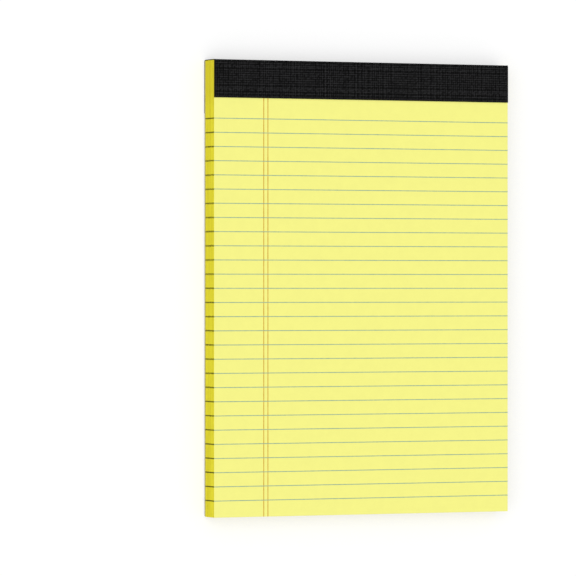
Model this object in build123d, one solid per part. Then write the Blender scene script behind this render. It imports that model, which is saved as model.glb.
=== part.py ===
from build123d import *
import os

# A ruled legal pad lying on its back: width along X, bound head towards +Y, front sheet facing +Z.
# The origin is under the middle of the pad, on the surface that it lies on. All sizes are in millimetres.

# Block of sheets
sheet_width = 215.9
sheet_length = 298.45
block_thickness = 13.9

# Backing board
board_thickness = 1.2

# Head and foot edges, drawn in towards the back
rear_draw = 0.5
rear_draw_height = 2.5

# Binding tape
tape_thickness = 0.5
front_flap = 25.0
back_flap = 35.0
fold_radius = 0.3
glue_line = 0.02

# Print, pressed into the front sheet and bled over the side edges
rule_pitch = 9.243
rule_width = 0.5
first_rule_drop = 13.55
least_foot_margin = 8.0
margin_line_offset = 35.7
margin_line_gap = 3.0
margin_line_width = 0.6
margin_line_lap = 2.0
edge_mark_width = 0.8
print_depth = 0.05

# Wire stitches, bent from flat wire
wire_thickness = 0.5
wire_width = 0.7
wire_bend_radius = 0.5
crown_width = 12.0
clinch_length = 4.5
stitch_inset = 33.0
stitch_setback = 12.0
pierce_clearance = 0.03
stitch_names = ("staple_left", "staple_middle", "staple_right")

# Overrun of every cut past the face that it opens
overrun = 1.0

# Levels
back_level = glue_line + tape_thickness
joint_level = back_level + board_thickness
front_level = joint_level + block_thickness
draw_level = back_level + rear_draw_height
middle_level = (back_level + front_level) / 2

# Places along the pad
foot_edge = -(sheet_length + glue_line + tape_thickness) / 2
head_edge = foot_edge + sheet_length
tape_head = -foot_edge
front_flap_edge = tape_head - front_flap
back_flap_edge = tape_head - back_flap
stitch_line = head_edge - stitch_setback

# Places across the pad
side_edge = sheet_width / 2
margin_line = margin_line_offset - side_edge


def bar(x_span, y_span, z_span):
    """Straight-sided solid between two places on each axis."""
    low = (x_span[0], y_span[0], z_span[0])
    size = [span[1] - span[0] for span in (x_span, y_span, z_span)]
    return Pos(*low) * Box(*size, align=(Align.MIN, Align.MIN, Align.MIN))


def patch(y_span, z_span):
    """Rectangle in the section plane, whose own axes run along the pad and up."""
    width = y_span[1] - y_span[0]
    height = z_span[1] - z_span[0]
    return Pos(y_span[0], z_span[0]) * Rectangle(width, height, align=(Align.MIN, Align.MIN))


def stack_section():
    """Sheets and board cut along the pad, with the corners that the tape folds over eased."""
    foot_front = (foot_edge, front_level)
    head_front = (head_edge, front_level)
    head_draw = (head_edge, draw_level)
    foot_draw = (foot_edge, draw_level)
    head_back = (head_edge - rear_draw, back_level)
    foot_back = (foot_edge + rear_draw, back_level)
    outline = [
        Line(foot_front, head_front),
        Line(head_front, head_draw),
        TangentArc(head_draw, head_back, tangent=(0, -1)),
        Line(head_back, foot_back),
        TangentArc(foot_draw, foot_back, tangent=(0, -1)),
        Line(foot_draw, foot_front),
    ]
    section = make_face(outline)
    folded = [section.vertices().sort_by_distance((*place, 0))[0] for place in (head_front, head_back)]
    return fillet(folded, radius=fold_radius)


def across_pad(section):
    """Solid of a section that runs from one side edge of the pad to the other."""
    return extrude(Plane.YZ * section, amount=side_edge, both=True)


def stitch_section(grow):
    """Wire of a stitch seen along the pad, grown on every side: crown, legs and ends clinched inwards."""
    leg = (crown_width - wire_thickness) / 2
    tip = crown_width / 2 - clinch_length - grow
    crown = front_level - wire_thickness / 2
    clinch = back_level + wire_thickness / 2

    def wire_side(out, radius):
        corners = [
            (-tip, clinch - out),
            (-leg - out, clinch - out),
            (-leg - out, crown + out),
            (leg + out, crown + out),
            (leg + out, clinch - out),
            (tip, clinch - out),
        ]
        return FilletPolyline(*corners, radius=radius)

    half = wire_thickness / 2 + grow
    outside = wire_side(half, wire_bend_radius + wire_thickness + grow)
    inside = wire_side(-half, wire_bend_radius - grow)
    ends = [Line(outside @ 0, inside @ 0), Line(outside @ 1, inside @ 1)]
    return make_face(outside.edges() + inside.edges() + ends)


def wire(grow):
    """Flat wire of a stitch about x = 0, grown on every side."""
    return Pos(0, stitch_line) * extrude(Plane.XZ * stitch_section(grow), wire_width / 2 + grow, both=True)


def stitch_cut():
    """Room for one stitch: its piercings, and a channel in each face that lets its crown and ends lie flush."""
    leg = crown_width / 2 + pierce_clearance
    tip = crown_width / 2 - clinch_length - pierce_clearance
    half = wire_width / 2 + pierce_clearance
    channel = (stitch_line - half, stitch_line + half)
    crown_room = (front_level - wire_thickness / 2, front_level + overrun)
    clinch_room = (back_level - overrun, back_level + wire_thickness / 2)
    cut = wire(pierce_clearance) + bar((-leg, leg), channel, crown_room)
    return cut + bar((-leg, -tip), channel, clinch_room) + bar((tip, leg), channel, clinch_room)


def stitch_places():
    """Places of the stitches across the pad, by node name."""
    outermost = side_edge - stitch_inset
    spacing = 2 * outermost / (len(stitch_names) - 1)
    return {name: index * spacing - outermost for index, name in enumerate(stitch_names)}


def rule_places():
    """Places of the rules along the pad, from the first below the tape down to the foot margin."""
    first = front_flap_edge - first_rule_drop
    count = int((first - foot_edge - least_foot_margin) / rule_pitch) + 1
    return [first - index * rule_pitch for index in range(count)]


def rule_cut(place):
    """Print of one rule across the front sheet, and its mark down the block at both side edges."""
    across = (-side_edge - overrun, side_edge + overrun)
    width = (place - rule_width / 2, place + rule_width / 2)
    mark = (place - edge_mark_width / 2, place + edge_mark_width / 2)
    height = (joint_level - overrun, front_level + overrun)
    cut = bar(across, width, (front_level - print_depth, front_level + overrun))
    cut += bar((-side_edge - overrun, print_depth - side_edge), mark, height)
    cut += bar((side_edge - print_depth, side_edge + overrun), mark, height)
    return cut


def margin_cuts():
    """Print of the double margin line, from the foot to a short way under the tape."""
    along = (foot_edge - overrun, front_flap_edge + margin_line_lap)
    deep = (front_level - print_depth, front_level + overrun)
    places = (margin_line, margin_line + margin_line_gap)
    half = margin_line_width / 2
    return [bar((place - half, place + half), along, deep) for place in places]


def ruled_sheets(stack, stitch_cuts):
    """Block of sheets above the board, pierced for the stitches and printed."""
    across = (-side_edge - overrun, side_edge + overrun)
    along = (foot_edge - overrun, head_edge + overrun)
    block = stack & bar(across, along, (joint_level, front_level + overrun))
    return block - stitch_cuts - [rule_cut(place) for place in rule_places()] - margin_cuts()


def backing_board(stack, stitch_cuts):
    """Board behind the sheets, with channels for the clinched ends."""
    across = (-side_edge - overrun, side_edge + overrun)
    along = (foot_edge - overrun, head_edge + overrun)
    return (stack & bar(across, along, (back_level - overrun, joint_level))) - stitch_cuts


def binding_tape(section):
    """One strip folded over the head: front flap, head, drawn-in rear fold and back flap."""
    strip = offset(section, glue_line + tape_thickness) - offset(section, glue_line)
    front = patch((front_flap_edge, tape_head + overrun), (middle_level, front_level + overrun))
    back = patch((back_flap_edge, tape_head + overrun), (-overrun, middle_level))
    return across_pad(strip & (front + back))


def save(name, shape):
    """One node to its own file."""
    shape.label = name
    export_step(shape, os.path.join("parts", name + ".step"))


def main():
    os.makedirs("parts", exist_ok=True)
    section = stack_section()
    stack = across_pad(section)
    cut = stitch_cut()
    places = stitch_places()
    stitch_cuts = [Pos(place) * cut for place in places.values()]
    save("ruled_sheets", ruled_sheets(stack, stitch_cuts))
    save("backing_board", backing_board(stack, stitch_cuts))
    save("binding_tape", binding_tape(section))
    stitch = wire(0)
    for name, place in places.items():
        save(name, Pos(place) * stitch)


main()
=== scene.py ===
import math
import random

import bpy
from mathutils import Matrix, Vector, noise


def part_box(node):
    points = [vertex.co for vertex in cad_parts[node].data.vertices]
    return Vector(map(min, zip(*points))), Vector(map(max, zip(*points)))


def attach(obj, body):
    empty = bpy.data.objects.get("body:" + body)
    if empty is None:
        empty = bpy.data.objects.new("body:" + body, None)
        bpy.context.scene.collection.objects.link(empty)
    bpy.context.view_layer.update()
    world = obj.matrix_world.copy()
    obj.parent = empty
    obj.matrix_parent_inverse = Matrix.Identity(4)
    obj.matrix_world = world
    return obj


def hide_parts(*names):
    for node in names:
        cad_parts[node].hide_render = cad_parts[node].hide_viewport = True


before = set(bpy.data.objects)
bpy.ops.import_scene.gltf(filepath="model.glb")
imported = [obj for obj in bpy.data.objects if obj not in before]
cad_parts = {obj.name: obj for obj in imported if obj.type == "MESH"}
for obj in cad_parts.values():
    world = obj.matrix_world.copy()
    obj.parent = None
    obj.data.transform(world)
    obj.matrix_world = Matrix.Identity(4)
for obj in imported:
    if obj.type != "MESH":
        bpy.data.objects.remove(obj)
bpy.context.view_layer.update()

bl_info = {
    "name": "Legal Pad",
    "version": (1, 0, 0),
    "blender": (4, 5, 0),
    "location": "View3D > Sidebar > Legal Pad",
    "description": "Dresses a ruled writing pad with leaves, print, cloth tape, board and wire",
    "category": "Object",
}

# Unit of length
mm = 0.001

# Distances under which two levels, points or columns count as one
same_level = 0.001 * mm
same_point = 0.01 * mm
same_column = 0.1 * mm

# Range that most of a noise lies in, and its middle
noise_low = 0.3
noise_high = 0.7
noise_middle = 0.5

# Starts of the random draws, and of the noise of the threads along the pad and across it
leaf_seed = 7
rule_seed = 3
margin_seed = 5
along_seed = 11.7
across_seed = 23.9

# Leaves: waves of their drift over the block, across the pad and along it, and the part of
# their stray that goes into a turn
drift_waves = (1.5, 2.5)
turn_part = 3

# Cut edges: weight of a leaf's own tone, of the bands and of the wisps in the tone of the edges,
# and the tones that are darkest and lightest
leaf_weight = 0.45
band_weight = 0.9
wisp_weight = 0.3
darkest_tone = 0.42
lightest_tone = 1.08

# Cut edges: length over which they darken towards head and foot, and how far
end_length = 90 * mm
end_shade = 0.1

# Cut edges: lengths before and past the flap's edge over which they darken, and how far; this
# darkening is painted shade of the tape on the edges beside it
flap_before = 8 * mm
flap_past = 4 * mm
flap_shade = 0.48

# Marks on the cut edges: how far they slip from leaf to leaf, how soft their sides are, the
# weakest leaf's share of ink, and the share of ink at the ends of the margin lines
mark_slip = 0.12 * mm
mark_soft = 0.06 * mm
weakest_mark = 0.88
margin_mark = 0.8

# Printed lines: cuts along each, the length at its ends that stays straight, the share of paper
# in its palest ink, and the depth of the margin lines in ink heights, so that no faces meet
line_cuts = 96
straight_end = 0.5 * mm
pale_share = 0.2
margin_depth = 1.2

# Rows of the tape's faces round a fold and round the drawn-in back of the head
fold_rows = 4
draw_rows = 10

# Columns and rows of the tape's faces for each thread, and the height of the pressed border
columns_a_thread = 3
plain_height = 0.3

# Threads, in heights of the cloth: level with no thread near, crown of a middling thread, what
# a thick one adds, and the weight of slow and of quick changes of thickness
bare_level = -0.46
middling_crown = 0.95
thick_gain = 0.85
swell_weight = 0.3
slub_weight = 1.7

# Threads: columns that one may stray, slubs for each run, and the strides from thread to thread
# through the noise of its place, its swelling and its slubs
thread_stray = 1.5
slubs_a_run = 3
place_stride = 5.77
swell_stride = 7.31
slub_stride = 3.17
place_row = 0.5
slub_row = 5.3

# Cloth: its middle height, and the weight of the threads along the pad and across it
cloth_middle = 0.5
along_weight = 0.48
across_weight = 0.58

# Cloth: sway of its tone with fibres and clouds, what the painted shade along the front fold takes
# off, and its lightest share
fibre_sway = 0.35
cloud_sway = 0.25
painted_fold_shade = 0.5
lightest_thread = 0.95
smooth_angle = math.radians(40)

# Stage: the floor, the way to the key lamp and its width, and the camera's reach
floor_size = 16
floor_level = -0.02 * mm
key_place = (-1, -0.6, 2.6)
key_way = (-0.55, -0.02, 1.0)
key_width = math.radians(70)
camera_reach = 50

# Names of the packed nodes
sheets_node = "ruled_sheets"
board_node = "backing_board"
tape_node = "binding_tape"
stitch_nodes = ("staple_left", "staple_middle", "staple_right")


def seen(red, green, blue):
    """Colour as it is seen on a screen, from 0 to 255, as a linear colour."""
    shares = [value / 255 for value in (red, green, blue)]
    return tuple(s / 12.92 if s <= 0.04045 else ((s + 0.055) / 1.055) ** 2.4 for s in shares)


def length(name, description, default):
    """Length that a user may change."""
    return bpy.props.FloatProperty(
        name=name, description=description, default=default, unit="LENGTH", precision=5
    )


def light_level(name, description, default):
    """Level of light that a user may change."""
    return bpy.props.FloatProperty(name=name, description=description, default=default)


def colour(name, description, default):
    """Colour that a user may change."""
    return bpy.props.FloatVectorProperty(
        name=name, description=description, default=default, subtype="COLOR", min=0, max=1
    )


class SheetSettings(bpy.types.PropertyGroup):
    """Block of ruled sheets."""

    leaf_count: bpy.props.IntProperty(
        name="Leaves", description="Sheets in the block", default=120, min=2
    )
    trim: length("Trim", "How far the leaves keep inside the nominal sheet on each side", 0.06 * mm)
    stray: length("Stray", "How far one leaf lies out of line with the next", 0.02 * mm)
    drift: length("Drift", "How far the leaves wander over the height of the block", 0.025 * mm)
    groove_depth: length("Groove depth", "Depth of the parting between two leaves", 0.05 * mm)
    groove_height: length("Groove height", "Height of the parting between two leaves", 0.02 * mm)
    rear_draw: length("Rear draw", "How far head and foot are drawn in at the back", 0.5 * mm)
    rear_draw_height: length("Rear draw height", "Height over which they are drawn in", 2.5 * mm)
    fold_radius: length("Fold radius", "Rounding of the head under the tape", 0.3 * mm)
    paper: colour("Paper", "Face of a sheet", seen(247, 245, 137))
    leaf_edge: colour("Leaf edge", "Cut edges of the sheets", seen(241, 232, 58))
    leaf_parting: colour("Leaf parting", "Darker leaves in the cut edges", seen(215, 201, 39))


class PrintSettings(bpy.types.PropertyGroup):
    """Rules and margin lines."""

    rule_pitch: length("Rule pitch", "Distance between rules", 9.243 * mm)
    rule_width: length("Rule width", "Width of a rule", 0.5 * mm)
    first_rule_drop: length("First rule drop", "From the tape to the first rule", 13.55 * mm)
    least_foot_margin: length("Least foot margin", "Least space under the last rule", 8.0 * mm)
    margin_offset: length("Margin offset", "From the left edge to the outer margin line", 35.7 * mm)
    margin_gap: length("Margin gap", "Distance between the two margin lines", 3.0 * mm)
    margin_width: length("Margin line width", "Width of a margin line", 0.6 * mm)
    margin_lap: length("Margin lap", "How far the margin lines run under the tape", 2.0 * mm)
    edge_mark: length("Edge mark", "Width of a rule's mark on the cut edges", 0.8 * mm)
    ink_height: length("Ink height", "How far the ink stands on the paper", 0.01 * mm)
    unevenness: length("Unevenness", "How far an ink edge strays", 0.035 * mm)
    rule_ink: colour("Rule ink", "Pale blue-green of the rules", seen(125, 166, 157))
    margin_ink: colour("Margin ink", "Warm red of the margin lines", seen(209, 151, 0))
    edge_ink: colour("Edge ink", "Marks of the rules on the cut edges", seen(62, 70, 26))


class TapeSettings(bpy.types.PropertyGroup):
    """Cloth tape over the head."""

    thickness: length("Thickness", "Thickness of the tape", 0.5 * mm)
    front_flap: length("Front flap", "Length of the tape on the front sheet", 25.0 * mm)
    thread_spacing: length("Thread spacing", "Distance between the thick threads", 1.5 * mm)
    relief: length("Relief", "How deep the cloth lies between the threads", 0.07 * mm)
    thread_run: length("Thread run", "Length over which a thread keeps its thickness", 3.0 * mm)
    plain_edge: length("Plain edge", "Width of the pressed border of the tape", 1.6 * mm)
    # The pressed line along the front fold is painted shade where the cloth turns over the head
    fold_shade_width: length("Crease", "Width of the pressed line along the front fold", 1.3 * mm)
    # The weave is the cloth's own; its holes are painted darker as shade and the crowns of its
    # thick threads lighter as sheen
    cloth: colour("Cloth", "Black cloth between the threads", seen(4, 4, 4))
    thread: colour("Thread", "Crowns of the thick threads", seen(43, 43, 44))


class BackSettings(bpy.types.PropertyGroup):
    """Board and wire."""

    board: colour("Board", "Grey chipboard", seen(180, 172, 128))
    fleck: colour("Fleck", "Dark fibres in the chipboard", seen(142, 134, 98))
    fibre: colour("Fibre", "Pale fibres in the chipboard", seen(208, 201, 160))
    wire: colour("Wire", "Galvanised wire", seen(178, 180, 182))


class StageSettings(bpy.types.PropertyGroup):
    """Camera, floor and lamps."""

    view_turn: bpy.props.FloatProperty(
        name="View turn", description="Angle from straight above towards the left side",
        default=math.radians(25.077), subtype="ANGLE",
    )
    view_distance: length("View distance", "From the camera to the front sheet", 3126.8 * mm)
    aim_across: length("Aim across", "Where the view meets the sheet, across the pad", -54.735 * mm)
    aim_along: length("Aim along", "Where the view meets the sheet, along the pad", 0.2205 * mm)
    lens: bpy.props.FloatProperty(name="Lens", description="Focal length in mm", default=297.847)
    sensor: bpy.props.FloatProperty(name="Sensor", description="Sensor width in mm", default=36.0)
    key_level: light_level("Key level", "Share of the light on the sheet from the lamp", 0.38)
    sky_level: light_level("Sky level", "Even light from all round", 0.62)
    floor: colour("Floor", "Pale floor, as it lights the pad", seen(232, 232, 232))
    floor_seen: colour("Floor seen", "Pale floor, as the camera sees it", seen(196, 196, 196))
    floor_lift: light_level("Floor lift", "Brings the lit floor to white", 0.48)


settings_groups = {
    "pad_sheets": SheetSettings,
    "pad_print": PrintSettings,
    "pad_tape": TapeSettings,
    "pad_back": BackSettings,
    "pad_stage": StageSettings,
}


def deselect():
    """Nothing selected, so that the next operator acts on its own piece alone."""
    bpy.ops.object.select_all(action="DESELECT")


def choose(piece):
    """Selects a piece alone and makes it the active one."""
    deselect()
    piece.select_set(True)
    bpy.context.view_layer.objects.active = piece


def edit(piece):
    """Opens a piece in edit mode, with nothing else selected."""
    choose(piece)
    bpy.ops.object.mode_set(mode="EDIT")


def close():
    """Leaves edit mode."""
    bpy.ops.object.mode_set(mode="OBJECT")


def settle(piece):
    """Puts a piece's place into its mesh and leaves its object at the origin."""
    choose(piece)
    bpy.ops.object.transform_apply(location=True, rotation=True, scale=True)


def pick_vertices(piece, wanted):
    """Selects, in edit mode, the vertices whose place is wanted."""
    bpy.ops.mesh.select_mode(type="VERT")
    bpy.ops.mesh.select_all(action="DESELECT")
    bpy.ops.object.mode_set(mode="OBJECT")
    for vertex in piece.data.vertices:
        vertex.select = wanted(vertex.co)
    bpy.ops.object.mode_set(mode="EDIT")


def pick_edges(piece, wanted):
    """Selects, in edit mode, the edges whose two ends are wanted."""
    bpy.ops.mesh.select_mode(type="EDGE")
    bpy.ops.mesh.select_all(action="DESELECT")
    bpy.ops.object.mode_set(mode="OBJECT")
    places = [vertex.co for vertex in piece.data.vertices]
    for edge in piece.data.edges:
        edge.select = wanted(*(places[index] for index in edge.vertices))
    bpy.ops.object.mode_set(mode="EDIT")


def apply_modifier(piece, name):
    """Applies one modifier of a piece."""
    choose(piece)
    bpy.ops.object.modifier_apply(modifier=name)


def finish_piece(piece, name, materials):
    """Names a piece, gives it its materials, and lets it ride on the pad."""
    piece.name = name
    piece.data.name = name
    piece.data.materials.clear()
    for material in materials:
        piece.data.materials.append(material)
    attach(piece, "root")


class Finish:
    """One material and the nodes that are put in it."""

    def __init__(self, name, **constants):
        self.material = bpy.data.materials.new(name)
        self.material.use_nodes = True
        self.tree = self.material.node_tree
        self.surface = self.tree.nodes["Principled BSDF"]
        self.set(self.surface, **constants)

    def set(self, node, **constants):
        """Sets the sockets of a node, named with underscores for spaces."""
        for name, value in constants.items():
            node.inputs[name.replace("_", " ")].default_value = value

    def link(self, value, socket):
        """Links an output to a socket, or sets the socket to a number or colour."""
        if isinstance(value, bpy.types.NodeSocket):
            self.tree.links.new(value, socket)
        else:
            socket.default_value = value

    def place(self):
        """Place on the piece, in metres."""
        return self.tree.nodes.new("ShaderNodeTexCoord").outputs["Object"]

    def parts(self, vector):
        """The three parts of a vector."""
        node = self.tree.nodes.new("ShaderNodeSeparateXYZ")
        self.link(vector, node.inputs[0])
        return node.outputs

    def sum(self, operation, *values):
        """One sum of numbers."""
        node = self.tree.nodes.new("ShaderNodeMath")
        node.operation = operation
        for value, socket in zip(values, node.inputs):
            self.link(value, socket)
        return node.outputs[0]

    def weighed(self, *parts):
        """Sum of values, each times its weight."""
        total = 0.0
        for value, weight in parts:
            total = self.sum("MULTIPLY_ADD", value, weight, total)
        return total

    def swayed(self, value, noise, sway):
        """Value moved up and down with a noise."""
        return self.sum("MULTIPLY_ADD", self.sum("SUBTRACT", noise, noise_middle), sway, value)

    def stretch(self, vector, factors):
        """Vector with each of its parts multiplied."""
        node = self.tree.nodes.new("ShaderNodeVectorMath")
        node.operation = "MULTIPLY"
        self.link(vector, node.inputs[0])
        node.inputs[1].default_value = factors
        return node.outputs[0]

    def noise(self, vector, grain, detail=2.0, roughness=0.5):
        """Noise whose lumps have the sizes given, one for each way or one for all."""
        sizes = grain if isinstance(grain, tuple) else (grain, grain, grain)
        node = self.tree.nodes.new("ShaderNodeTexNoise")
        self.set(node, Scale=1.0, Detail=detail, Roughness=roughness)
        self.link(self.stretch(vector, [1 / size for size in sizes]), node.inputs["Vector"])
        return node.outputs[0]

    def chance(self, value):
        """Random number from 0 to 1 for each value."""
        node = self.tree.nodes.new("ShaderNodeTexWhiteNoise")
        node.noise_dimensions = "1D"
        self.link(value, node.inputs["W"])
        return node.outputs["Value"]

    def ramp(self, value, start, end, low=0.0, high=1.0):
        """Value that goes smoothly from low to high as the input goes from start to end."""
        node = self.tree.nodes.new("ShaderNodeMapRange")
        node.interpolation_type = "SMOOTHSTEP"
        for number, socket in zip((value, start, end, low, high), node.inputs):
            self.link(number, socket)
        return node.outputs[0]

    def blend(self, share, first, second):
        """Colour between two colours."""
        node = self.tree.nodes.new("ShaderNodeMix")
        node.data_type = "RGBA"
        self.link(share, node.inputs[0])
        for value, socket in ((first, node.inputs[6]), (second, node.inputs[7])):
            self.link(value if isinstance(value, bpy.types.NodeSocket) else (*value, 1), socket)
        return node.outputs[2]

    def emboss(self, height, depth):
        """Relief in the shading: height from 0 to 1 over a depth in metres."""
        node = self.tree.nodes.new("ShaderNodeBump")
        self.set(node, Strength=1.0, Distance=depth)
        self.link(height, node.inputs["Height"])
        self.link(node.outputs[0], self.surface.inputs["Normal"])

    def paint(self, shade):
        """Colour of the surface."""
        self.link(shade, self.surface.inputs["Base Color"])

    def dull(self, share, low, high):
        """Roughness that goes from low to high with a noise."""
        rough = self.ramp(share, noise_low, noise_high, low, high)
        self.link(rough, self.surface.inputs["Roughness"])

    def clouded(self, share, tone, low, high):
        """Tone that goes from a darker to a lighter one with a noise."""
        even = self.ramp(share, noise_low, noise_high)
        return self.blend(even, shaded(tone, low), shaded(tone, high))


def shaded(tone, factor):
    """Colour made lighter or darker."""
    return tuple(min(1.0, value * factor) for value in tone)


def paper_finish(settings):
    """Smooth yellow writing paper with faint clouds and fibres."""
    finish = Finish("yellow_writing_paper", Specular_IOR_Level=0.2)
    place = finish.place()
    clouds = finish.noise(place, 6 * mm, detail=3.0)
    fibres = finish.noise(place, (1.6 * mm, 0.35 * mm, 0.35 * mm), detail=3.0)
    share = finish.weighed((clouds, 0.6), (fibres, 0.4))
    finish.paint(finish.clouded(share, settings.paper, 0.985, 1.012))
    finish.dull(share, 0.8, 0.9)
    finish.emboss(finish.noise(place, 0.25 * mm, detail=4.0, roughness=0.6), 0.006 * mm)
    return finish.material


def leaf_edge_finish(sheets, print_settings, layout):
    """Cut edges of the leaves: tones from leaf to leaf, darker towards head and foot, painted shade
    beside the tape, and the ends of rules and margin lines.
    """
    finish = Finish("cut_leaf_edges", Specular_IOR_Level=0.15)
    place = finish.place()
    x, y, z = finish.parts(place)
    height = finish.sum("SUBTRACT", z, layout.block_low)
    leaf = finish.sum("FLOOR", finish.sum("DIVIDE", height, layout.leaf))
    one = finish.chance(leaf)
    bands = finish.noise(place, (90 * mm, 90 * mm, 1.3 * mm), detail=2.0)
    wisps = finish.noise(place, (7 * mm, 7 * mm, 0.25 * mm), detail=2.0)
    tone = finish.weighed((one, leaf_weight), (bands, band_weight), (wisps, wisp_weight))
    even = finish.ramp(tone, darkest_tone, lightest_tone)
    paper = finish.blend(even, sheets.leaf_parting, sheets.leaf_edge)
    away = finish.sum("ABSOLUTE", y)
    at_ends = finish.ramp(away, layout.head - end_length, layout.head, 0.0, end_shade)
    # Painted shade of the tape on the cut edges beside it, darkest past the flap's edge
    flap_start, flap_end = layout.flap_edge - flap_before, layout.flap_edge + flap_past
    painted_tape_shade = finish.ramp(y, flap_start, flap_end, 0.0, flap_shade)
    paper = finish.blend(finish.sum("ADD", at_ends, painted_tape_shade), paper, sheets.leaf_parting)

    slip = finish.sum("MULTIPLY", finish.sum("SUBTRACT", one, 0.5), mark_slip)
    drop = finish.sum("SUBTRACT", layout.rules[0], y)
    step = finish.sum("DIVIDE", drop, print_settings.rule_pitch)
    off = finish.sum("ABSOLUTE", finish.sum("SUBTRACT", step, finish.sum("ROUND", step)))
    off = finish.sum("ADD", finish.sum("MULTIPLY", off, print_settings.rule_pitch), slip)
    half = print_settings.edge_mark / 2
    mark = finish.ramp(off, half - mark_soft, half + mark_soft, 1.0, 0.0)
    mark = finish.sum("MULTIPLY", mark, finish.sum("GREATER_THAN", step, -0.5))
    mark = finish.sum("MULTIPLY", mark, finish.sum("LESS_THAN", step, len(layout.rules) - 0.5))
    other = finish.chance(finish.sum("ADD", leaf, 0.37))
    mark = finish.sum("MULTIPLY", mark, finish.ramp(other, 0.0, 1.0, weakest_mark, 1.0))
    shade = finish.blend(mark, paper, print_settings.edge_ink)

    half = print_settings.margin_width / 2
    for line in layout.margins:
        gap = finish.sum("ADD", finish.sum("ABSOLUTE", finish.sum("SUBTRACT", x, line)), slip)
        spot = finish.ramp(gap, half, half + mark_soft, margin_mark, 0.0)
        shade = finish.blend(spot, shade, print_settings.margin_ink)
    finish.paint(shade)
    finish.dull(wisps, 0.86, 0.94)
    finish.emboss(finish.noise(place, (0.6 * mm, 0.6 * mm, 0.08 * mm), detail=3.0), 0.01 * mm)
    return finish.material


def ink_finish(name, tone, paper):
    """Thin ink that has sunk in here and there."""
    finish = Finish(name, Specular_IOR_Level=0.2)
    place = finish.place()
    patches = finish.noise(place, 1.5 * mm, detail=3.0)
    grain = finish.noise(place, 0.2 * mm, detail=2.0)
    share = finish.weighed((patches, 0.6), (grain, 0.4))
    faded = tuple((1 - pale_share) * ink + pale_share * sheet for ink, sheet in zip(tone, paper))
    finish.paint(finish.blend(finish.ramp(share, 0.35, 0.65), shaded(tone, 0.94), faded))
    finish.dull(share, 0.74, 0.86)
    finish.emboss(grain, 0.004 * mm)
    return finish.material


class Layout:
    """Levels and places of the pad, taken from the packed nodes and the settings."""

    def __init__(self, scene):
        sheets, printing = scene.pad_sheets, scene.pad_print
        low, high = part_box(sheets_node)
        self.block_low, self.block_high = low.z, high.z
        self.leaf = (self.block_high - self.block_low) / sheets.leaf_count
        self.side = high.x
        self.foot, self.head = low.y, high.y
        board_low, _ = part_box(board_node)
        self.board_low = board_low.z
        self.tape_low, self.tape_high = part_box(tape_node)
        self.flap_edge = self.tape_high.y - scene.pad_tape.front_flap
        first = self.flap_edge - printing.first_rule_drop
        count = int((first - self.foot - printing.least_foot_margin) / printing.rule_pitch) + 1
        self.rules = [first - index * printing.rule_pitch for index in range(count)]
        outer = printing.margin_offset - self.side
        self.margins = [outer, outer + printing.margin_gap]
        draw, height = sheets.rear_draw, sheets.rear_draw_height
        self.draw_radius = (draw * draw + height * height) / (2 * draw)
        self.draw_level = self.board_low + height
        self.fold_radius = sheets.fold_radius

    def drawn_in(self, level):
        """How far head and foot stand in at a level."""
        below = max(0.0, self.draw_level - level)
        return self.draw_radius - math.sqrt(self.draw_radius ** 2 - below ** 2)

    def folded_in(self, level):
        """How far the head stands in at a level under the front fold of the tape."""
        above = min(self.fold_radius, max(0.0, level - self.block_high + self.fold_radius))
        return self.fold_radius - math.sqrt(self.fold_radius ** 2 - above ** 2)


class Outline:
    """Outline of one leaf: its corners, and how far it is turned."""

    def __init__(self, x_low, x_high, y_low, y_high, turn):
        self.size = Vector((x_high - x_low, y_high - y_low, 0))
        self.centre = Vector(((x_low + x_high) / 2, (y_low + y_high) / 2, 0))
        self.turn = turn

    def shrunk(self, depth):
        """Outline that lies inside this one by a depth."""
        half = self.size / 2 - Vector((depth, depth, 0))
        low, high = self.centre - half, self.centre + half
        return Outline(low.x, high.x, low.y, high.y, self.turn)


def leaf_outlines(sheets, layout):
    """Outline of each leaf from the back to the front, a little out of line with each other."""
    drift, stray = sheets.drift, sheets.stray
    draw = random.Random(leaf_seed)
    phases = [draw.uniform(0, 2 * math.pi) for _ in drift_waves]
    outlines = []
    for index in range(sheets.leaf_count):
        level = layout.block_low + (index + 0.5) * layout.leaf
        angle = 2 * math.pi * (index / sheets.leaf_count)
        shift = [
            drift * math.sin(angle * waves + phase) + draw.uniform(-stray, stray)
            for waves, phase in zip(drift_waves, phases)
        ]
        turn = draw.uniform(-1, 1) * stray / layout.head / turn_part
        if index == sheets.leaf_count - 1:
            shift, turn = [0.0, 0.0], 0.0
        drawn = layout.drawn_in(level)
        folded = layout.folded_in(level)
        outlines.append(Outline(
            -layout.side + sheets.trim + shift[0],
            layout.side - sheets.trim + shift[0],
            layout.foot + sheets.trim + drawn + shift[1],
            layout.head - sheets.trim - max(drawn, folded) + shift[1],
            turn,
        ))
    return outlines


def raise_wall(height):
    """Extrudes the selected face upwards."""
    bpy.ops.mesh.extrude_region_move(TRANSFORM_OT_translate={"value": (0, 0, height)})


def step_to(old, new, level):
    """Extrudes the selected outline sideways, to another outline at the same level."""
    move = new.centre - old.centre
    bpy.ops.mesh.extrude_region_move(TRANSFORM_OT_translate={"value": move})
    pivot = (new.centre.x, new.centre.y, level)
    factors = (new.size.x / old.size.x, new.size.y / old.size.y, 1)
    bpy.ops.transform.resize(value=factors, center_override=pivot)
    if new.turn != old.turn:
        bpy.ops.transform.rotate(value=new.turn - old.turn, orient_axis="Z", center_override=pivot)


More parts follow.
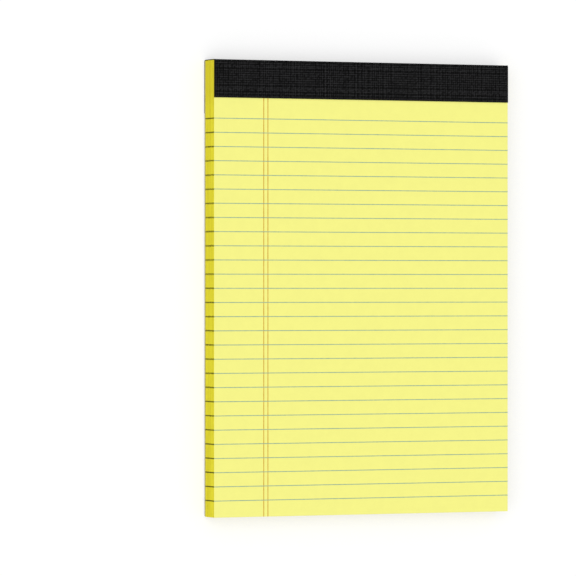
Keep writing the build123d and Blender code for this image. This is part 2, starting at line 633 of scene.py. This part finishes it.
def stack_leaves(sheets, layout):
    """One closed block of leaves, each with its own edge and a parting above it."""
    outlines = leaf_outlines(sheets, layout)
    first = outlines[0]
    level = layout.block_low
    deselect()
    bpy.ops.mesh.primitive_plane_add(size=1, location=(first.centre.x, first.centre.y, level))
    block = bpy.context.object
    block.scale = (first.size.x, first.size.y, 1)
    settle(block)
    edit(block)
    bpy.ops.mesh.select_all(action="SELECT")
    wall = layout.leaf - sheets.groove_height
    for outline, following in zip(outlines, outlines[1:]):
        inner = outline.shrunk(sheets.groove_depth)
        raise_wall(wall)
        level += wall
        step_to(outline, inner, level)
        raise_wall(sheets.groove_height)
        level += sheets.groove_height
        step_to(inner, following, level)
    raise_wall(layout.block_high - level)
    close()
    return block


def ring_reaches(places, corners, least):
    """How far along the sides each ring of the block's points lies from the back.

    Every step is at least so long, so that no face is lost on the map.
    """
    reaches = [0.0]
    for index in range(corners, len(places), corners):
        levels = [place.z for place in places[index:index + corners]]
        if max(levels) - min(levels) > same_level:
            raise RuntimeError("the block's points aren't in rings")
        reaches.append(reaches[-1] + max(levels[0] - places[index - corners].z, least))
    return reaches


def unroll_stack(block, sheets, layout):
    """Bake map of the block: front sheet, four sides as strips beside it, and a small back."""
    corners = 4
    places = [vertex.co for vertex in block.data.vertices]
    reaches = ring_reaches(places, corners, sheets.groove_depth / 2)
    gap = 2 * mm
    strip = reaches[-1] + gap
    width, height = 2 * layout.side, layout.head - layout.foot
    beside = width + 2 * gap
    whole = max(beside + 4 * strip, height + 2 * gap)
    shrink = strip / width

    def spot(face, index):
        right, up = places[index].x + layout.side, places[index].y - layout.foot
        left, down = width - right, height - up
        if face.material_index == 0 and face.normal.z > 0:
            return right + gap, up + gap
        if face.material_index == 0:
            return beside + 2 * strip + left * shrink, beside + up * shrink
        if abs(face.center.x) > abs(face.center.y):
            number, run = (0, up) if face.center.x < 0 else (1, down)
        else:
            number, run = (2, right) if face.center.y > 0 else (3, left)
        return beside + number * strip + reaches[index // corners], run + gap

    bake = block.data.uv_layers.new(name="OFBake")
    for face in block.data.polygons:
        for loop in face.loop_indices:
            place = spot(face, block.data.loops[loop].vertex_index)
            bake.data[loop].uv = [value / whole for value in place]


class PAD_OT_sheet_stack(bpy.types.Operator):
    """Stack the ruled sheets leaf by leaf"""

    bl_idname = "pad.sheet_stack"
    bl_label = "Sheet Stack"

    def execute(self, context):
        scene = context.scene
        layout = Layout(scene)
        block = stack_leaves(scene.pad_sheets, layout)
        materials = [
            paper_finish(scene.pad_sheets),
            leaf_edge_finish(scene.pad_sheets, scene.pad_print, layout),
        ]
        finish_piece(block, "sheet_stack", materials)
        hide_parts(sheets_node)
        for face in block.data.polygons:
            broad = face.area > layout.side * layout.head
            face.material_index = 0 if broad else 1
        unroll_stack(block, scene.pad_sheets, layout)
        return {"FINISHED"}


def printed_line(low, high, level):
    """Flat strip of ink from one corner to the other, cut into short lengths."""
    size = high - low
    deselect()
    bpy.ops.mesh.primitive_plane_add(size=1, location=(*((low + high) / 2).xy, level))
    line = bpy.context.object
    line.scale = (size.x, size.y, 1)
    settle(line)
    way = 0 if size.x > size.y else 1
    edit(line)
    pick_edges(line, lambda start, end: abs(end[way] - start[way]) > size[way] / 2)
    bpy.ops.mesh.subdivide(number_cuts=line_cuts)
    close()
    return line


def copies_of(line, moves):
    """A line and its copies, each with its own mesh, joined into one piece."""
    lines = [line]
    for move in moves:
        copy = line.copy()
        copy.data = line.data.copy()
        bpy.context.scene.collection.objects.link(copy)
        copy.location = move
        settle(copy)
        lines.append(copy)
    deselect()
    for each in lines:
        each.select_set(True)
    bpy.context.view_layer.objects.active = line
    bpy.ops.object.join()
    return line


def roughen_and_thicken(piece, printing, level, inner, seed):
    """Makes the edges of flat ink strips a little uneven, then gives them their height."""
    edit(piece)
    pick_vertices(piece, inner)
    bpy.ops.transform.vertex_random(offset=printing.unevenness, uniform=0, normal=0, seed=seed)
    bpy.ops.transform.resize(value=(1, 1, 0), center_override=(0, 0, level))
    bpy.ops.mesh.select_all(action="SELECT")
    raise_wall(2 * printing.ink_height)
    bpy.ops.mesh.select_all(action="SELECT")
    bpy.ops.mesh.normals_make_consistent(inside=False)
    close()


class PAD_OT_rule_lines(bpy.types.Operator):
    """Print the rules on the front sheet"""

    bl_idname = "pad.rule_lines"
    bl_label = "Rule Lines"

    def execute(self, context):
        scene = context.scene
        layout = Layout(scene)
        printing = scene.pad_print
        reach = layout.side - scene.pad_sheets.trim
        half = Vector((reach, printing.rule_width / 2, 0))
        middle = Vector((0, layout.rules[0], 0))
        level = layout.block_high - printing.ink_height
        line = printed_line(middle - half, middle + half, level)
        moves = [(0, place - layout.rules[0], 0) for place in layout.rules[1:]]
        rules = copies_of(line, moves)

        def inside(place):
            return abs(place.x) < reach - straight_end

        roughen_and_thicken(rules, printing, level, inside, rule_seed)
        ink = ink_finish("rule_ink", printing.rule_ink, scene.pad_sheets.paper)
        finish_piece(rules, "rule_lines", [ink])
        return {"FINISHED"}


class PAD_OT_margin_lines(bpy.types.Operator):
    """Print the double margin line on the front sheet"""

    bl_idname = "pad.margin_lines"
    bl_label = "Margin Lines"

    def execute(self, context):
        scene = context.scene
        layout = Layout(scene)
        printing = scene.pad_print
        foot = layout.foot + scene.pad_sheets.trim
        top = layout.flap_edge + printing.margin_lap
        half = printing.margin_width / 2
        level = layout.block_high - printing.ink_height * margin_depth
        low = Vector((layout.margins[0] - half, foot, 0))
        high = Vector((layout.margins[0] + half, top, 0))
        line = printed_line(low, high, level)
        pair = copies_of(line, [(layout.margins[1] - layout.margins[0], 0, 0)])

        def inside(place):
            return foot + straight_end < place.y < top - straight_end

        roughen_and_thicken(pair, printing, level, inside, margin_seed)
        ink = ink_finish("margin_ink", printing.margin_ink, scene.pad_sheets.paper)
        finish_piece(pair, "margin_lines", [ink])
        return {"FINISHED"}


def finish_board(settings):
    """Grey chipboard with dark and pale fibres."""
    finish = Finish("grey_chipboard", Specular_IOR_Level=0.2)
    place = finish.place()
    clouds = finish.noise(place, 9 * mm, detail=3.0)
    flecks = finish.noise(place, (2.2 * mm, 1.0 * mm, 0.25 * mm), detail=3.0)
    fibres = finish.noise(place, (0.8 * mm, 2.8 * mm, 0.2 * mm), detail=3.0)
    base = finish.clouded(clouds, settings.board, 0.93, 1.05)
    base = finish.blend(finish.ramp(flecks, 0.55, 0.66, 0.0, 0.9), base, settings.fleck)
    finish.paint(finish.blend(finish.ramp(fibres, 0.55, 0.66, 0.0, 0.8), base, settings.fibre))
    finish.dull(clouds, 0.86, 0.94)
    finish.emboss(finish.weighed((fibres, 0.5), (flecks, 0.5)), 0.03 * mm)
    return finish.material


class PAD_OT_backing_board(bpy.types.Operator):
    """Finish the backing board as grey chipboard"""

    bl_idname = "pad.backing_board"
    bl_label = "Backing Board"

    def execute(self, context):
        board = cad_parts[board_node]
        board.data.materials.clear()
        board.data.materials.append(finish_board(context.scene.pad_back))
        return {"FINISHED"}


def wire_finish(settings):
    """Galvanised wire with a drawn grain."""
    finish = Finish("galvanised_wire", Metallic=1.0)
    place = finish.place()
    grain = finish.noise(place, (0.8 * mm, 0.08 * mm, 0.8 * mm), detail=2.0)
    cast = finish.noise(place, 1.2 * mm, detail=3.0)
    finish.paint(finish.clouded(cast, settings.wire, 0.85, 1.1))
    finish.dull(grain, 0.3, 0.48)
    finish.emboss(grain, 0.004 * mm)
    return finish.material


class PAD_OT_stitches(bpy.types.Operator):
    """Finish the wire stitches as galvanised steel"""

    bl_idname = "pad.stitches"
    bl_label = "Stitches"

    def execute(self, context):
        material = wire_finish(context.scene.pad_back)
        for name in stitch_nodes:
            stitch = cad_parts[name]
            stitch.data.materials.clear()
            stitch.data.materials.append(material)
        return {"FINISHED"}


def tape_path(tape, layout):
    """Section of the tape's outer face, from the front flap's edge to the back flap's.

    Each point has its place along the pad, its level and its place on the cloth in threads.
    """
    step = tape.thread_spacing / columns_a_thread
    lift = layout.tape_high.z - layout.block_high
    fold = layout.fold_radius + lift
    draw = layout.draw_radius + lift
    front = (layout.tape_high.y - fold, layout.tape_high.z - fold)
    bow = (layout.tape_high.y - draw, layout.draw_level)
    rise = layout.draw_level - (layout.tape_low.z + fold)
    slope = math.asin(rise / (draw - fold))
    rear = (bow[0] + (draw - fold) * math.cos(slope), bow[1] - rise)
    quarter = math.pi / 2

    def straight(start, end):
        rows = round(math.dist(start, end) / step)
        points = [
            [a + (b - a) * row / rows for a, b in zip(start, end)] for row in range(1, rows + 1)
        ]
        return [(*point, 1 / columns_a_thread) for point in points]

    def arc(centre, radius, start, end, rows):
        turn = (end - start) / rows
        count = max(1, round(abs(end - start) * radius / step)) / columns_a_thread
        angles = [start + turn * row for row in range(1, rows + 1)]
        along, level = centre
        return [
            (along + radius * math.cos(angle), level + radius * math.sin(angle), count / rows)
            for angle in angles
        ]

    flap_start = (layout.flap_edge, layout.tape_high.z)
    parts = [(*flap_start, 0.0)]
    parts += straight(flap_start, (front[0], layout.tape_high.z))
    parts += arc(front, fold, quarter, 0.0, fold_rows)
    parts += straight((layout.tape_high.y, front[1]), (layout.tape_high.y, layout.draw_level))
    parts += arc(bow, draw, 0.0, -slope, draw_rows)
    parts += arc(rear, fold, -slope, -quarter, fold_rows)
    parts += straight((rear[0], layout.tape_low.z), (layout.tape_low.y, layout.tape_low.z))
    path, thread = [], 0.0
    for along, level, count in parts:
        thread += count
        path.append((along, level, thread))
    return path


def tape_strip(path, reach, columns):
    """Thin strip of fine faces that follows the path across the whole pad."""
    (start, level, _), (end, _, _) = path[0], path[1]
    deselect()
    bpy.ops.mesh.primitive_grid_add(
        x_subdivisions=columns, y_subdivisions=1, size=1, location=(0, (start + end) / 2, level)
    )
    strip = bpy.context.object
    strip.scale = (2 * reach, end - start, 1)
    settle(strip)
    edit(strip)
    middle = (start + end) / 2
    pick_edges(strip, lambda one, other: min(one.y, other.y) > middle)
    for (along, level, _), (next_along, next_level, _) in zip(path[1:], path[2:]):
        move = (0, next_along - along, next_level - level)
        bpy.ops.mesh.extrude_edges_move(TRANSFORM_OT_translate={"value": move})
    close()
    return strip


def thread_crown(count, run, tape, seed):
    """Height of the threads of one way at a point: high on a thick one, low between two.

    The count is the point's place across these threads, and the run its place along them.
    """
    crown = bare_level
    for thread in range(round(count) - 1, round(count) + 2):
        stray = noise.noise(Vector((thread * place_stride, seed, place_row)))
        shift = round(thread_stray * stray) / columns_a_thread
        swell = noise.noise(Vector((thread * swell_stride, run / tape.thread_run, seed)))
        slub_run = slubs_a_run * run / tape.thread_run
        slub = noise.noise(Vector((thread * slub_stride, slub_run, seed + slub_row)))
        thick = min(1.0, max(-1.0, swell_weight * swell + slub_weight * slub))
        near = max(0.0, 1 - columns_a_thread * abs(count - thread - shift))
        crown += (middling_crown + thick_gain * thick) * near
    return crown


def thread_height(column, thread, place, tape):
    """Height of the cloth at a point, from 0 in the holes to 1 where two thick threads cross."""
    warp = thread_crown(column, place[1], tape, along_seed)
    weft = thread_crown(thread, place[0], tape, across_seed)
    return min(1.0, max(0.0, cloth_middle + along_weight * warp + across_weight * weft))


def weave_threads(strip, tape, path, reach, columns):
    """Height of the cloth at each point of the strip, and how far its border lets the relief go."""
    count = columns + 1
    spacing = 2 * reach / columns
    last = path[-1][2]
    heights = []
    for vertex in strip.data.vertices:
        row, column = divmod(vertex.index, count)
        along, level, thread = path[row]
        x = -reach + column * spacing
        if (Vector((x, along, level)) - vertex.co).length > same_point:
            raise RuntimeError("the strip's points aren't in the order of the path")
        run = thread * tape.thread_spacing
        height = thread_height(column / columns_a_thread, thread, (x, run), tape)
        border = min(reach - abs(x), run, last * tape.thread_spacing - run)
        fade = min(1.0, border / tape.plain_edge)
        heights.append((plain_height + (height - plain_height) * fade, fade))
    return heights


def tape_finish(settings, layout):
    """Black book cloth: thick threads both ways over a fine weave, its crowns painted lighter as
    sheen and its holes darker as shade, with painted shade along the front fold.
    """
    finish = Finish("black_book_cloth", Specular_IOR_Level=0.06)
    place = finish.place()
    node = finish.tree.nodes.new("ShaderNodeAttribute")
    node.attribute_name = "thread"
    thread = node.outputs["Fac"]
    fibres = finish.noise(place, 0.16 * mm, detail=3.0)
    clouds = finish.noise(place, 7 * mm, detail=2.0)
    share = finish.swayed(finish.swayed(thread, fibres, fibre_sway), clouds, cloud_sway)
    _, y, z = finish.parts(place)
    head, front = layout.tape_high.y, layout.tape_high.z
    # Painted shade along the front fold, where the cloth turns over the head
    near_fold, at_fold = settings.fold_shade_width, settings.fold_shade_width / 4
    at_head = finish.ramp(y, head - near_fold, head - at_fold)
    at_front = finish.ramp(z, front - near_fold, front - at_fold)
    pressed = finish.sum("MULTIPLY", at_head, at_front)
    share = finish.sum("SUBTRACT", share, finish.sum("MULTIPLY", pressed, painted_fold_shade))
    # Tone by the cloth's height: painted sheen on the crowns of the threads and painted shade in
    # the holes
    even = finish.ramp(share, 0.0, lightest_thread)
    finish.paint(finish.blend(even, settings.cloth, settings.thread))
    finish.dull(share, 0.86, 0.74)
    finish.emboss(fibres, 0.02 * mm)
    return finish.material


def thicken_and_press(strip, tape, heights):
    """Gives the strip its thickness, and sinks its outer face between the threads."""
    outer = len(strip.data.vertices)
    wall = strip.modifiers.new("thickness", "SOLIDIFY")
    wall.thickness = tape.thickness
    wall.offset = -1
    apply_modifier(strip, wall.name)
    group = strip.vertex_groups.new(name="hollows")
    for index, (height, fade) in enumerate(heights):
        group.add([index], (1 - height) * fade, "REPLACE")
    thread = strip.data.attributes.new("thread", "FLOAT", "POINT")
    inside = len(strip.data.vertices) - outer
    thread.data.foreach_set("value", [height for height, _ in heights] + [plain_height] * inside)
    press = strip.modifiers.new("hollows", "DISPLACE")
    press.vertex_group = group.name
    press.mid_level = 0
    press.strength = -tape.relief
    apply_modifier(strip, press.name)


def clear_inner_face(strip, outer, reach):
    """Takes the fine edges along the path out of the strip's smooth inner face."""
    edit(strip)
    bpy.ops.mesh.select_mode(type="EDGE")
    bpy.ops.mesh.select_all(action="DESELECT")
    bpy.ops.object.mode_set(mode="OBJECT")
    places = [vertex.co for vertex in strip.data.vertices]
    for edge in strip.data.edges:
        first, second = edge.vertices
        inner = min(first, second) >= outer
        within = abs(places[first].x) < reach - same_column
        lengthwise = abs(places[first].x - places[second].x) < same_column
        edge.select = inner and within and lengthwise
    bpy.ops.object.mode_set(mode="EDIT")
    bpy.ops.mesh.dissolve_edges(use_verts=True)
    close()


class PAD_OT_binding_tape(bpy.types.Operator):
    """Lay the cloth tape over the head"""

    bl_idname = "pad.binding_tape"
    bl_label = "Binding Tape"

    def execute(self, context):
        scene = context.scene
        layout = Layout(scene)
        tape = scene.pad_tape
        path = tape_path(tape, layout)
        reach = layout.side
        columns = columns_a_thread * round(2 * reach / tape.thread_spacing)
        strip = tape_strip(path, reach, columns)
        heights = weave_threads(strip, tape, path, reach, columns)
        outer = len(strip.data.vertices)
        thicken_and_press(strip, tape, heights)
        clear_inner_face(strip, outer, reach)
        choose(strip)
        bpy.ops.object.shade_smooth_by_angle(angle=smooth_angle)
        finish_piece(strip, "cloth_tape", [tape_finish(tape, layout)])
        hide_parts(tape_node)
        return {"FINISHED"}


def seen_by_camera(tree):
    """One for what the camera sees straight or in gloss or glass, else nothing."""
    rays = tree.nodes.new("ShaderNodeLightPath")
    total = rays.outputs["Is Camera Ray"]
    for name in ("Is Glossy Ray", "Is Transmission Ray"):
        add = tree.nodes.new("ShaderNodeMath")
        add.operation = "MAXIMUM"
        tree.links.new(total, add.inputs[0])
        tree.links.new(rays.outputs[name], add.inputs[1])
        total = add.outputs[0]
    return total


def pale_floor(settings):
    """Floor that looks white where it is lit, and keeps a soft shadow."""
    material = bpy.data.materials.new("pale_floor")
    material.use_nodes = True
    tree = material.node_tree
    surface = tree.nodes["Principled BSDF"]
    surface.inputs["Roughness"].default_value = 0.9
    surface.inputs["Specular IOR Level"].default_value = 0.0
    surface.inputs["Emission Color"].default_value = (1, 1, 1, 1)
    camera = seen_by_camera(tree)
    tone = tree.nodes.new("ShaderNodeMix")
    tone.data_type = "RGBA"
    tree.links.new(camera, tone.inputs[0])
    tone.inputs[6].default_value = (*settings.floor, 1)
    tone.inputs[7].default_value = (*settings.floor_seen, 1)
    tree.links.new(tone.outputs[2], surface.inputs["Base Color"])
    lift = tree.nodes.new("ShaderNodeMath")
    lift.operation = "MULTIPLY"
    lift.inputs[1].default_value = settings.floor_lift
    tree.links.new(camera, lift.inputs[0])
    tree.links.new(lift.outputs[0], surface.inputs["Emission Strength"])
    return material


def even_sky(scene, level):
    """World that lights evenly, and is white to the camera."""
    world = bpy.data.worlds.new("studio")
    scene.world = world
    world.use_nodes = True
    tree = world.node_tree
    background = tree.nodes["Background"]
    background.inputs["Color"].default_value = (1, 1, 1, 1)
    strength = tree.nodes.new("ShaderNodeMapRange")
    strength.inputs["To Min"].default_value = level
    strength.inputs["To Max"].default_value = 1.0
    tree.links.new(seen_by_camera(tree), strength.inputs["Value"])
    tree.links.new(strength.outputs[0], background.inputs["Strength"])


class PAD_OT_stage(bpy.types.Operator):
    """Set the floor, the lamps and the camera"""

    bl_idname = "pad.stage"
    bl_label = "Stage"

    def execute(self, context):
        scene = context.scene
        settings = scene.pad_stage
        layout = Layout(scene)
        deselect()
        bpy.ops.mesh.primitive_plane_add(size=floor_size, location=(0, 0, floor_level))
        floor = bpy.context.object
        floor.name = "floor"
        floor.data.materials.append(pale_floor(settings))
        even_sky(scene, settings.sky_level)

        deselect()
        bpy.ops.object.light_add(type="SUN", location=key_place)
        key = bpy.context.object
        key.name = "key"
        direction = Vector(key_way).normalized()
        key.rotation_euler = direction.to_track_quat("Z", "Y").to_euler()
        key.data.energy = math.pi * settings.key_level / direction.z
        key.data.angle = key_width

        turn = settings.view_turn
        back = Vector((-math.sin(turn), 0, math.cos(turn)))
        aim = Vector((settings.aim_across, settings.aim_along, layout.block_high))
        place = aim + back * settings.view_distance
        deselect()
        bpy.ops.object.camera_add(location=place, rotation=(0, -turn, 0))
        camera = bpy.context.object
        camera.name = "camera"
        camera.data.lens = settings.lens
        camera.data.sensor_width = settings.sensor
        camera.data.clip_end = camera_reach
        scene.camera = camera
        scene.view_settings.view_transform = "Standard"
        return {"FINISHED"}


class PAD_PT_panel(bpy.types.Panel):
    """Pieces of the pad in the sidebar"""

    bl_idname = "PAD_PT_panel"
    bl_label = "Legal Pad"
    bl_space_type = "VIEW_3D"
    bl_region_type = "UI"
    bl_category = "Legal Pad"

    def draw(self, context):
        for operator in operators:
            self.layout.operator(operator.bl_idname)
        for name, group in settings_groups.items():
            box = self.layout.box()
            box.label(text=group.__doc__)
            for field in group.__annotations__:
                box.prop(getattr(context.scene, name), field)


operators = (
    PAD_OT_sheet_stack,
    PAD_OT_rule_lines,
    PAD_OT_margin_lines,
    PAD_OT_binding_tape,
    PAD_OT_backing_board,
    PAD_OT_stitches,
    PAD_OT_stage,
)


def register():
    for name, group in settings_groups.items():
        bpy.utils.register_class(group)
        setattr(bpy.types.Scene, name, bpy.props.PointerProperty(type=group))
    for each in (*operators, PAD_PT_panel):
        bpy.utils.register_class(each)


def unregister():
    for each in reversed((*operators, PAD_PT_panel)):
        bpy.utils.unregister_class(each)
    for name, group in reversed(settings_groups.items()):
        delattr(bpy.types.Scene, name)
        bpy.utils.unregister_class(group)


def main():
    register()
    bpy.ops.pad.sheet_stack()
    bpy.ops.pad.rule_lines()
    bpy.ops.pad.margin_lines()
    bpy.ops.pad.binding_tape()
    bpy.ops.pad.backing_board()
    bpy.ops.pad.stitches()
    bpy.ops.pad.stage()


if __name__ == "__main__":
    main()
